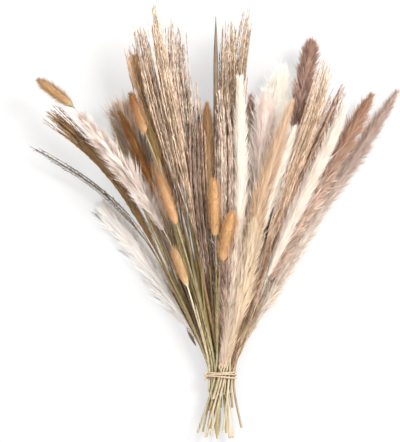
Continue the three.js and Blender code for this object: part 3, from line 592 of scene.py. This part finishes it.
# Each head: kind, length and half width in millimetres, its hair's colour at the root, at the tip and in
# its dark locks, and its stem.
HAIRY = {
    "bunny_tail_far_left": ("blunt bunny", 43, 8.2, "#b08352", "#d6b182", "#8c643c", "olive"),
    "bunny_tail_upper_left": ("bunny", 43, 8.2, "#b08050", "#d2a676", "#8a6038", "olive"),
    "bunny_tail_middle_left": ("bunny", 66, 7.3, "#c8935f", "#e6bc8c", "#a47646", "olive"),
    "bunny_tail_centre": ("blunt bunny", 60, 7.9, "#cb9660", "#eac28c", "#aa7c48", "olive"),
    "bunny_tail_centre_right": ("blunt bunny", 52, 9.0, "#cb965e", "#eac28a", "#aa7a42", "olive"),
    "bunny_tail_low_left": ("blunt bunny", 40, 8.2, "#c69c68", "#e8c694", "#a37b48", "pale"),
    "foxtail_caramel": ("foxtail", 90, 5.8, "#9a622a", "#cc924e", "#70431a", "brown"),
    "foxtail_olive": ("foxtail", 40, 5, "#997843", "#bf9f68", "#7b5e30", "olive"),
    "foxtail_soft_tan": ("foxtail", 42, 7, "#dcb27e", "#f6dfba", "#b98f5c", "olive"),
    "foxtail_central_tan": ("foxtail", 128, 8, "#c79c6a", "#e8c898", "#a07a4e", "olive"),
    "plume_blush_left": ("tufted plume", 150, 14, "#f8ece2", "#fffaf6", "#c6ab99", "pale"),
    "plume_white_low_left": ("blunt plume", 170, 14, "#fffaf5", "#fffefc", "#fff6f0", "pale"),
    "plume_taupe_left": ("brush plume", 190, 19, "#b99f88", "#e0cab5", "#836852", "brown"),
    "plume_white_centre": ("plume", 195, 9.5, "#fff5e9", "#fffaf3", "#f4e4d2", "pale"),
    "plume_russet_centre": ("seedy plume", 155, 8.5, "#b48874", "#e0bfad", "#916a5a", "brown"),
    "plume_cream_back": ("soft plume", 150, 20, "#fffaf0", "#fffdf8", "#fff6ea", "pale"),
    "plume_lilac_back": ("soft plume", 170, 20, "#fdeee5", "#fffaf5", "#f2ddd2", "pale"),
    "plume_mauve_top_right": ("seedy plume", 100, 11, "#c9a38f", "#f2d8c8", "#946c5a", "brown"),
    "plume_tan_big": ("long plume", 240, 14, "#e4c29a", "#faead2", "#b69066", "pale"),
    "plume_white_narrow": ("even plume", 105, 9, "#fbf1e4", "#fffcf6", "#ecdfcd", "pale"),
    "plume_white_right": ("even plume", 190, 10, "#f6ebde", "#fffaf4", "#dfcab4", "pale"),
    "plume_brown_right": ("seedy plume", 215, 11, "#dcbaa2", "#fdecdd", "#a8836e", "brown"),
    "plume_mauve_right_edge": ("seedy plume", 320, 11, "#ecdccb", "#fffaf2", "#cdb8a6", "pale"),
    "plume_mauve_low_centre": ("seedy plume", 125, 13, "#bb9580", "#eccebd", "#866452", "brown"),
    "plume_tan_low_centre": ("low plume", 200, 13, "#e8d0b8", "#fff6e8", "#b99d84", "pale"),
    "plume_tan_low_right": ("low plume", 200, 14, "#ecd2b0", "#fff6e4", "#bc9f78", "pale"),
}

# The colour of a head's upper half, where it differs from its lower one. For the middle-left bunny tail it is
# a painted shade on the upper half.
TOPS = {
    "bunny_tail_upper_left": "#a0622c",
    # painted shade on this bunny tail's upper half
    "bunny_tail_middle_left": "#ad7d50",
    "foxtail_central_tan": "#b98c5c",
    "plume_brown_right": "#bf9270",
    "plume_mauve_right_edge": "#c4a89b",
    "plume_mauve_top_right": "#b18a76",
    "plume_russet_centre": "#d8bcae",
    "plume_tan_big": "#e8cfb4",
}

# How much higher or lower than its solid's middle a head lies, in millimetres.
LIFT = {
    "bunny_tail_upper_left": -4.5,
    "bunny_tail_centre": -4,
    "bunny_tail_middle_left": -1,
    "plume_white_narrow": 10,
    "plume_lilac_back": 6,
    "plume_cream_back": 5,
}
MOST_HAIRS = 7000
TIE_ROOM = 7 * MM           # from the middle of the tie to the lowest hair
LEAST_CORE = 0.35 * MM
OPENING = 70 * MM           # above the tie, a plume opens to its full width over this length

lines = {}
for seed, (node, (kind, length, half_width, root, tip, dark, stem)) in enumerate(HAIRY.items()):
    (hair, per_lock, lean, ragged, spread, droop, shortest,
     density, core, swell, taper, darks, trim) = HEADS[kind]
    line = stalk_line(node)
    line = line[:len(line) - trim]
    lines[node] = line
    run = steps_along(line)
    length = min(length, (run[-1] - np.interp(TIE_Y + TIE_ROOM, line[:, 1], run)) / MM)
    head_share = length * MM / run[-1]
    share = (run - (run[-1] - length * MM)) / (length * MM)
    line[:, 2] += LIFT.get(node, 0) * MM * np.clip(1 + 3 * share, 0, 1)     # it fades out down the stem
    opening = np.clip((line[:, 1] - TIE_Y) / OPENING, 0.5, 1) if "plume" in kind else 1
    reach = half_width * MM * head_profile(share, swell, taper) * opening
    thick = np.where(share > 0, np.maximum(reach * core, LEAST_CORE), stem_radius(line))
    made = line_object(node + "_grass", line, thick, reach, share)
    grow(made, HEAD_TREE, {
        **leaf_settings(line, head_share), "Leaf material": LEAVES[stem], "Stem material": STRAWS[stem],
        "Hair": hair, "Hairs in a lock": per_lock, "Lean": lean, "Ragged": ragged, "Lock spread": spread,
        "Droop": droop, "Shortest": shortest * MM, "Head share": head_share, "Seed": 100 * seed,
        "Hairs": int(min(density * length * 2 * half_width / 100, MOST_HAIRS)),
        "Head material": dried_grass(f"{node} hair", root, tip, dark, darks, TOPS.get(node))})
    set_in_place(made, node)

# ---------------------------------------------------------------- reed sprays and twig grass
# A reed's spray is a sheaf of hair-thin branches, each set with small pointed grains that lie along it.
# The branches leave the stem low in the head and end at different heights, so the top is ragged.
GRAIN_WIDTH = 0.095         # a grain's radius as a share of its length
FULLEST = 0.33              # how far up it a grain is fullest


def grain_shape():
    """One grain of length 1 along +Z: a three-sided husk, fullest a third of the way up."""
    verts = [(GRAIN_WIDTH * math.cos(turn), GRAIN_WIDTH * math.sin(turn), FULLEST)
             for turn in (0, 2 * math.pi / 3, 4 * math.pi / 3)] + [(0, 0, 0), (0.05, 0, 1)]
    faces = [(i, (i + 1) % 3, 4) for i in range(3)] + [((i + 1) % 3, i, 3) for i in range(3)]
    return mesh_object("grain_shape", verts, [], faces, along=[FULLEST] * 3 + [0, 1])


GRAIN = grain_shape()
WANDER = 0.08 * MM          # how far a branch strays from point to point


def spray_tree():
    """Grows a stalk with a spray of grain-set branches on its line."""
    tree, given, line, node, draw = new_stalk(
        "reed spray", ("Int", "Strands", "Grains"), ("Object", "Grain"),
        ("Float", "Grain length", "Lowest", "Grain lean", "Branch radius"))

    # One point for each grain. The branches turn round the line by the golden angle, and each opens out
    # over its first quarter.
    count = node("Math MULTIPLY", given["Strands"], given["Grains"])
    number = node("GeometryNodeInputIndex")
    strand = node("Math FLOOR", node("Math DIVIDE", node("Math ADD", number, 0.5), given["Grains"]))
    step = node("Math SUBTRACT", number, node("Math MULTIPLY", strand, given["Grains"]))
    step = node("Math DIVIDE", step, given["Grains"])
    first = node("Math MULTIPLY", draw(0.0, 1.0, 21, strand), given["Lowest"])
    last = draw(0.72, 1.0, 22, strand)
    place = node("Math ADD", first, node("Math MULTIPLY", step, node("Math SUBTRACT", last, first)))
    reach, centre, tangent = on_line(tree, line, head_to_line(tree, given, place), "reach")
    across = node("VectorMath NORMALIZE", node("VectorMath CROSS_PRODUCT", tangent, (0, 0, 1)))
    turn = node("Math ADD", node("Math MULTIPLY", strand, GOLDEN_ANGLE), draw(-0.4, 0.4, 23, strand))
    outward = node("ShaderNodeVectorRotate", across, Axis=tangent, Angle=turn, rotation_type="AXIS_ANGLE")
    opening = node("Math MINIMUM", node("Math MULTIPLY", step, 4.0), 1.0)
    away = node("Math MULTIPLY", draw(0.1, 1.0, 24, strand), opening)
    offset = node("VectorMath SCALE", outward, node("Math MULTIPLY", reach, away))
    wander = node("FunctionNodeRandomValue", (-WANDER,) * 3, (WANDER,) * 3, data_type="FLOAT_VECTOR",
                  Seed=node("Math ADD", given["Seed"], 25))
    place = node("VectorMath ADD", centre, node("VectorMath ADD", offset, wander))
    points = node("GeometryNodeSetPosition", node("GeometryNodePoints", count), Position=place)
    shade = node("Math ADD", node("Math MULTIPLY", draw(0.0, 1.0, 26), 0.6),
                 node("Math MULTIPLY", draw(0.0, 1.0, 27, strand), 0.4))
    points = node("GeometryNodeStoreNamedAttribute", points, Name="shade", Value=shade)
    points = node("GeometryNodeStoreNamedAttribute", points, Name="along", Value=step)

    # The thin branches run through their grains' points.
    branches = node("GeometryNodePointsToCurves", points, Curve_Group_ID=strand)
    tubes = swept_ring(tree, branches, 3, given["Branch radius"])

    # Grains lean off their branch all round it.
    leaning = node("ShaderNodeVectorRotate", across, Axis=tangent, Angle=draw(0.0, 2 * math.pi, 30),
                   rotation_type="AXIS_ANGLE")
    lean = node("Math MULTIPLY", given["Grain lean"], draw(0.4, 1.5, 28))
    direction = node("VectorMath ADD", tangent, node("VectorMath SCALE", leaning, lean))
    size = node("Math MULTIPLY", given["Grain length"], draw(0.65, 1.25, 29))
    grains = stood(tree, points, given["Grain"], size, direction)
    both = node("GeometryNodeJoinGeometry", [tubes, grains])
    return close_stalk(tree, given, line, stalk_body(tree, line, given), both)


SPRAY_TREE = spray_tree()

# Each spray: branches, length, half width and grain length in millimetres, how far it opens like a fan,
# then its colours and stem.
SPRAYS = {
    "reed_brown_left": (96, 200, 13, 4.8, 1.0, "#a1764a", "#d9b380", "#6a4a2c", "golden"),
    "twig_grass_left": (6, 185, 4, 4.0, 0.3, "#6a513c", "#94795f", "#423020", "golden"),
    "reed_top_left_a": (54, 240, 12, 5.0, 0.2, "#e4bf9a", "#fff0da", "#8f6a4c", "golden"),
    "reed_top_left_b": (50, 265, 11, 5.0, 0.2, "#e8c5a2", "#fff3e0", "#94704f", "golden"),
    "reed_top_left_c": (50, 260, 11, 5.0, 0.2, "#dcb898", "#fdeeda", "#886450", "olive"),
    "reed_top_left_d": (50, 255, 11, 5.0, 0.2, "#cfb29c", "#f2e0ce", "#806454", "olive"),
    "reed_top_left_e": (50, 245, 12, 5.0, 0.2, "#d4a67c", "#f6dab4", "#8a623f", "golden"),
    "reed_grey_centre": (54, 265, 13, 5.0, 0.2, "#d4bba4", "#faead9", "#8a705a", "olive"),
    "reed_taupe_centre": (54, 260, 13, 5.0, 0.2, "#ac8871", "#e2c4ad", "#64483a", "brown"),
    "reed_top_centre_a": (54, 255, 10, 5.0, 0.2, "#c6a586", "#efdcc6", "#74543c", "golden"),
    "reed_top_centre_b": (56, 260, 11, 5.0, 0.2, "#c09c7a", "#ecd7bc", "#6a4a32", "golden"),
    "reed_top_centre_c": (60, 270, 12, 5.0, 0.2, "#bd9872", "#ead2b2", "#68462e", "golden"),
    "reed_broad_centre": (56, 250, 12, 5.0, 0.2, "#e4c8ae", "#fff3e6", "#9c7a60", "olive"),
    "reed_gold_right": (64, 232, 12, 5.0, 0.3, "#ecc8a4", "#fff0da", "#a8835f", "golden"),
    "reed_brown_right": (60, 225, 12, 5.0, 0.3, "#d4a482", "#f4d6ba", "#8a664c", "golden"),
    "reed_low_right": (54, 230, 12, 4.6, 0.2, "#b48a66", "#e6c29e", "#6e4e3a", "brown"),
}
GRAIN_STEP = 2.8 * MM
GRAIN_DARK = (0.8, 1.3)
GRAIN_LEAN = 0.17
TWIG_LEAN = 0.55            # the twig grass's spikes stand off it
BRANCH_RADIUS = 0.3 * MM
BRANCH_SHARE = 0.7          # a branch's usual length as a share of its spray's
LOWEST_BRANCH = 0.5         # up to where in the spray branches leave the stem
STEM_SHOWS = 0.6            # and up to where the stem keeps its own colour
MOST_SPRAY = 0.97           # the most of a stalk that its spray may take

for seed, (node, spray) in enumerate(SPRAYS.items()):
    strands, length, half_width, grain, fan, root, tip, dark, stem = spray
    line = stalk_line(node)
    lines[node] = line
    run = steps_along(line)
    length = min(length, MOST_SPRAY * run[-1] / MM)
    head_share = length * MM / run[-1]
    share = np.clip((run - (run[-1] - length * MM)) / (length * MM), 0, 1)
    sheaf = 0.5 + 0.5 * np.sin(np.pi * (0.08 + 0.8 * share))
    reach = half_width * MM * ((1 - fan) * sheaf + fan * (0.3 + 0.7 * share ** 3))
    thick = stem_radius(line) * (1 - 0.6 * share)
    made = line_object(node + "_grass", line, thick, reach, share - STEM_SHOWS)
    grow(made, SPRAY_TREE, {
        **leaf_settings(line, head_share, 12), "Leaf material": LEAVES[stem], "Stem material": STRAWS[stem],
        "Strands": strands, "Grains": int(length * MM * BRANCH_SHARE / GRAIN_STEP), "Head share": head_share,
        "Grain length": grain * MM, "Lowest": LOWEST_BRANCH, "Branch radius": BRANCH_RADIUS,
        "Grain lean": TWIG_LEAN if node == "twig_grass_left" else GRAIN_LEAN,
        "Seed": 5000 + 100 * seed, "Grain": GRAIN,
        "Head material": dried_grass(f"{node} grain", root, tip, dark, GRAIN_DARK)})
    set_in_place(made, node)

# ---------------------------------------------------------------- blades
# The dark upright blade and the olive stem's leaf are flat dried leaves that taper to a point. Below the
# tie the olive stem is wrapped in its leaf sheath, which widens and then ends in a point at the cut end.


def frames_along(line, start):
    """Two directions square to the line at each point, which turn as little as they can along it."""
    tangents = np.gradient(line, axis=0)
    tangents /= np.linalg.norm(tangents, axis=1)[:, None]
    across = np.cross(tangents[0], start)
    frames = []
    for tangent in tangents:
        across = across - tangent * np.dot(across, tangent)
        across /= np.linalg.norm(across)
        frames.append((across, np.cross(across, tangent)))
    return frames


def swept(line, wide, high, sides):
    """Corners, faces and shares along, of a closed bar on a line: an ellipse wide by high at each point."""
    turns = 2 * math.pi * np.arange(sides) / sides
    verts = [point + across * half_wide * math.cos(t) + up * half_high * math.sin(t)
             for point, (across, up), half_wide, half_high
             in zip(line, frames_along(line, (0.1, 0.05, 1)), wide, high) for t in turns]
    last = len(verts) - sides
    faces = [(ring + k, ring + (k + 1) % sides, ring + (k + 1) % sides + sides, ring + k + sides)
             for ring in range(0, last, sides) for k in range(sides)]
    faces += [tuple(range(sides - 1, -1, -1)), tuple(range(last, last + sides))]
    return verts, faces, np.repeat(np.linspace(0, 1, len(line)), sides)


def solid_object(name, parts, material):
    """One object from several swept bars."""
    verts, faces, along = [], [], []
    for part_verts, part_faces, part_along in parts:
        faces += [tuple(corner + len(verts) for corner in face) for face in part_faces]
        verts += part_verts
        along += list(part_along)
    made = in_scene(mesh_object(name, verts, [], faces, along=along))
    made.data.materials.append(material)
    made.data.polygons.foreach_set("use_smooth", [True] * len(faces))
    return made


BLADE_WIDE = 2.4 * MM       # half of a blade's width, and of its thickness
BLADE_THICK = 0.5 * MM
BLADE_OPENS = 25 * MM       # over this length the round stem opens out into its blade
BLADE_POINT = 45 * MM       # and over this one the blade tapers to its point
SHEATH_TOP = 14 * MM        # below the tie
SHEATH_LENGTH = 53 * MM
SHEATH_WIDE = 3.0 * MM      # how far the sheath stands out past its stem
dark_leaf = straw("dark dried leaf", "#7f5431", "#665a4a", "#43280f")
green_leaf = straw("olive dried leaf", "#a89a6e", "#a0905e", "#7c6d44")
for node, length, material in (("blade_dark", 165, dark_leaf), ("stem_with_leaf_sheath", 110, green_leaf)):
    line = stalk_line(node)
    lines[node] = line
    left = steps_along(line)[-1] - steps_along(line)
    leaf = np.clip((length * MM - left) / BLADE_OPENS, 0, 1)
    tip = np.clip(left / BLADE_POINT, 0, 1) ** 0.7
    half_wide = np.maximum((STEM_RADIUS + (BLADE_WIDE - STEM_RADIUS) * leaf) * tip, 0.35 * MM)
    half_high = np.maximum((STEM_RADIUS + (BLADE_THICK - STEM_RADIUS) * leaf) * tip, 0.3 * MM)
    if node == "stem_with_leaf_sheath":
        down = np.clip((TIE_Y - SHEATH_TOP - line[:, 1]) / SHEATH_LENGTH, 0, 1)
        half_wide += SHEATH_WIDE * np.sin(math.pi * down ** 1.3) - 1.0 * MM * down
        half_high -= 0.8 * MM * down
    set_in_place(solid_object(node + "_leaf", [swept(line, half_wide, half_high, 8)], material), node)

# A small dark leaf hangs from the low white plume's stem, on the left side of the bunch.
hung = at_level(lines["plume_white_low_left"], TIE_Y + 54 * MM)
share = np.linspace(0, 1, 12)[:, None]
path = hung + share * np.array([9.5, -24, 2]) * MM + share * (1 - share) * np.array([-5, 0, 2]) * MM
bulge = np.sin(math.pi * np.clip(0.12 + 0.88 * share[:, 0], 0, 1)) ** 0.8
small_leaf = swept(path, 1.7 * MM * bulge + 0.25 * MM, np.full(len(path), 0.3 * MM), 8)

# One stem ends in a broad pale sheath that splays a little at the cut.
stalk = lines["reed_top_centre_b"]
path = stalk[stalk[:, 1] < TIE_Y - 20 * MM]
down = np.linspace(1, 0, len(path))
sheath = swept(path, (1.3 + 1.8 * down) * MM, (1.3 + 0.1 * down) * MM, 8)
pale_straw = straw("pale sheath", "#c4b097", "#c8b59c", "#96816a")
for name, bar, material, slot_node in (("small_dark_leaf", small_leaf, dark_leaf, "blade_dark"),
                                       ("pale_sheath", sheath, pale_straw, "reed_top_centre_b")):
    made = solid_object(name, [bar], material)
    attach(made, "root")

# ---------------------------------------------------------------- jute tie
# Jute twine of three twisted plies goes three times round the stems and is knotted at the left. In every
# direction it lies against the outermost stem there. Loose fibres stand off it all round.
TWINE_RADIUS = 0.85 * MM
TWINE_TURNS = 3
TWINE_PITCH = 2.4 * MM
PLIES = 3
PLY_TWIST = 6.5 * MM        # the length of one whole twist
PLY_STEP = 0.55 * MM
PLY_PLACE = 0.48            # from the twine's middle to a ply's, as a share of the twine's radius
PLY_RADIUS = 0.62           # a ply's radius, as the same share
KNOT_ANGLE = 2.7            # the knot's direction from the middle of the tie, in radians from +X
SLANT = 0.8 * MM            # how far a turn strays from level
tie_stems = np.array([at_level(line, TIE_Y)[[0, 2]] for line in lines.values()])
tie_middle = (tie_stems.min(0) + tie_stems.max(0)) / 2


def round_the_stems(angle, y, off=0.0):
    """A point of the twine's middle line, in the given direction from the middle of the tie."""
    way = np.array([math.cos(angle), math.sin(angle)])
    reach = ((tie_stems - tie_middle) @ way).max() + STEM_RADIUS + 0.25 * MM + TWINE_RADIUS + off
    place = tie_middle + way * reach
    return np.array([place[0], y, max(place[1], TWINE_RADIUS + FLOOR_GAP)])


def twisted_twine(path, radius=TWINE_RADIUS):
    """Swept bars for plies twisted together along a path of points."""
    path = smoothed(np.asarray(path), 3)
    run = steps_along(path)
    steps = np.linspace(0, run[-1], max(int(run[-1] / PLY_STEP), 8))
    fine = np.stack([np.interp(steps, run, path[:, k]) for k in range(3)], axis=1)
    frames = frames_along(fine, (0.3, 0.2, 1))
    pieces = []
    for ply in range(PLIES):
        turn = 2 * math.pi * (steps / PLY_TWIST + ply / PLIES)
        points = [p + (u * math.cos(t) - v * math.sin(t)) * (PLY_PLACE * radius)
                  for p, (u, v), t in zip(fine, frames, turn)]
        size = np.full(len(points), PLY_RADIUS * radius)
        pieces.append(swept(points, size, size, 6))
    return pieces


jute, tree, shader = new_material("jute twine")
fibres = add(tree, "ShaderNodeMix", noise(tree, 1600.0, 2.0), "#7c644c", "#e2ccb0", data_type="RGBA")
wire(shader, Base_Color=fibres, Roughness=0.9)

turns = np.linspace(0, TWINE_TURNS, 60 * TWINE_TURNS + 1)
coil = [round_the_stems(KNOT_ANGLE + t * 2 * math.pi,
                        TIE_Y + (t - TWINE_TURNS / 2) * TWINE_PITCH + SLANT * math.sin(2.6 * t * math.pi))
        for t in turns]
twine_parts = twisted_twine(coil)

# The knot is two small rings, tilted across each other, and two short tails. Each ring has its turns about
# X and Y, its radius and its place up the bunch from the knot's middle, and each tail has its end's place.
knot = round_the_stems(KNOT_ANGLE, TIE_Y, 1.2 * MM)
around = np.linspace(0, 2 * math.pi, 25)
for turn_x, turn_y, size, lift in ((0.3, 0.5, 1.9, 0.6), (1.3, -0.4, 1.7, -0.7)):
    ring = np.stack([np.cos(around), np.sin(around), 0 * around], axis=1) * size * MM
    tilt = np.array([[math.cos(turn_y), 0, math.sin(turn_y)], [0, 1, 0],
                     [-math.sin(turn_y), 0, math.cos(turn_y)]])
    roll = np.array([[1, 0, 0], [0, math.cos(turn_x), -math.sin(turn_x)],
                     [0, math.sin(turn_x), math.cos(turn_x)]])
    twine_parts += twisted_twine(ring @ roll.T @ tilt.T + knot + (0, lift * MM, 0))
share = np.linspace(0, 1, 9)[:, None]
for x, y, z in ((-1.6, -5.0, -1.5), (-2.4, 3.0, 0.5)):
    bend = np.array([[x * 0.7, y * 0.15, 1.5]]) * MM
    end = np.array([[x, y, z]]) * MM
    twine_parts += twisted_twine(knot + 2 * share * (1 - share) * bend + share ** 2 * end)

# One end comes up from the tie as a small loop that lies on the stems.
LOOP_Y = 9 * MM             # from the tie to the loop's middle
LOOP_LIFT = 4 * MM          # the soft hairs that it lies on
LOOP_SIZE = (1.8, 2.6, 0.5)         # half its width and its length, and how far it tips, in millimetres
loop_x = tie_middle[0] - 1 * MM
over = [at_level(line, TIE_Y + LOOP_Y) for line in lines.values()]
loop_z = max(p[2] for p in over if abs(p[0] - loop_x) < 4 * MM) + STEM_RADIUS + TWINE_RADIUS + LOOP_LIFT
around = np.linspace(-0.5 * math.pi, 1.5 * math.pi, 25)[:, None]
ring = np.concatenate([np.cos(around), np.sin(around), np.sin(around)], axis=1) * LOOP_SIZE * MM
ring += (loop_x, TIE_Y + LOOP_Y, loop_z)
foot = round_the_stems(math.pi / 2, TIE_Y + 2 * MM)
rise = foot + (ring[0] - foot) * np.linspace(0, 1, 7)[:, None]
twine_parts += twisted_twine(np.concatenate([rise[:-1], ring]), 0.7 * TWINE_RADIUS)
tie = solid_object("jute_tie", twine_parts, jute)
FIBRE_SPREAD = 1.2          # how far a loose fibre may lean off the twine's surface


def fuzz_tree():
    """Stands loose fibres all over a mesh."""
    tree, given = new_tree("loose fibres", ("Int", "Seed"), ("Float", "Density", "Length"),
                           ("Object", "Hair"), ("Material", "Material"))
    body = given["Geometry"]
    spots = add(tree, "GeometryNodeDistributePointsOnFaces", body, Density=given["Density"], Seed=7)
    astray = add(tree, "FunctionNodeRandomValue", (-FIBRE_SPREAD,) * 3, (FIBRE_SPREAD,) * 3, Seed=8,
                 data_type="FLOAT_VECTOR")
    direction = add(tree, "VectorMath ADD", spots.outputs["Normal"], astray)
    size = add(tree, "Math MULTIPLY", given["Length"], drawn(tree, 0.3, 1.0, 9))
    fibres = above_table(tree, stood(tree, spots, given["Hair"], size, direction))
    fuzz = add(tree, "GeometryNodeSetMaterial", fibres, Material=given["Material"])
    add(tree, "NodeGroupOutput", add(tree, "GeometryNodeJoinGeometry", [fuzz, body]))
    return tree


grow(tie, fuzz_tree(), {"Seed": 0, "Density": 160000.0, "Length": 3.2 * MM, "Hair": HAIR, "Material": jute})
set_in_place(tie, "twine_tie")
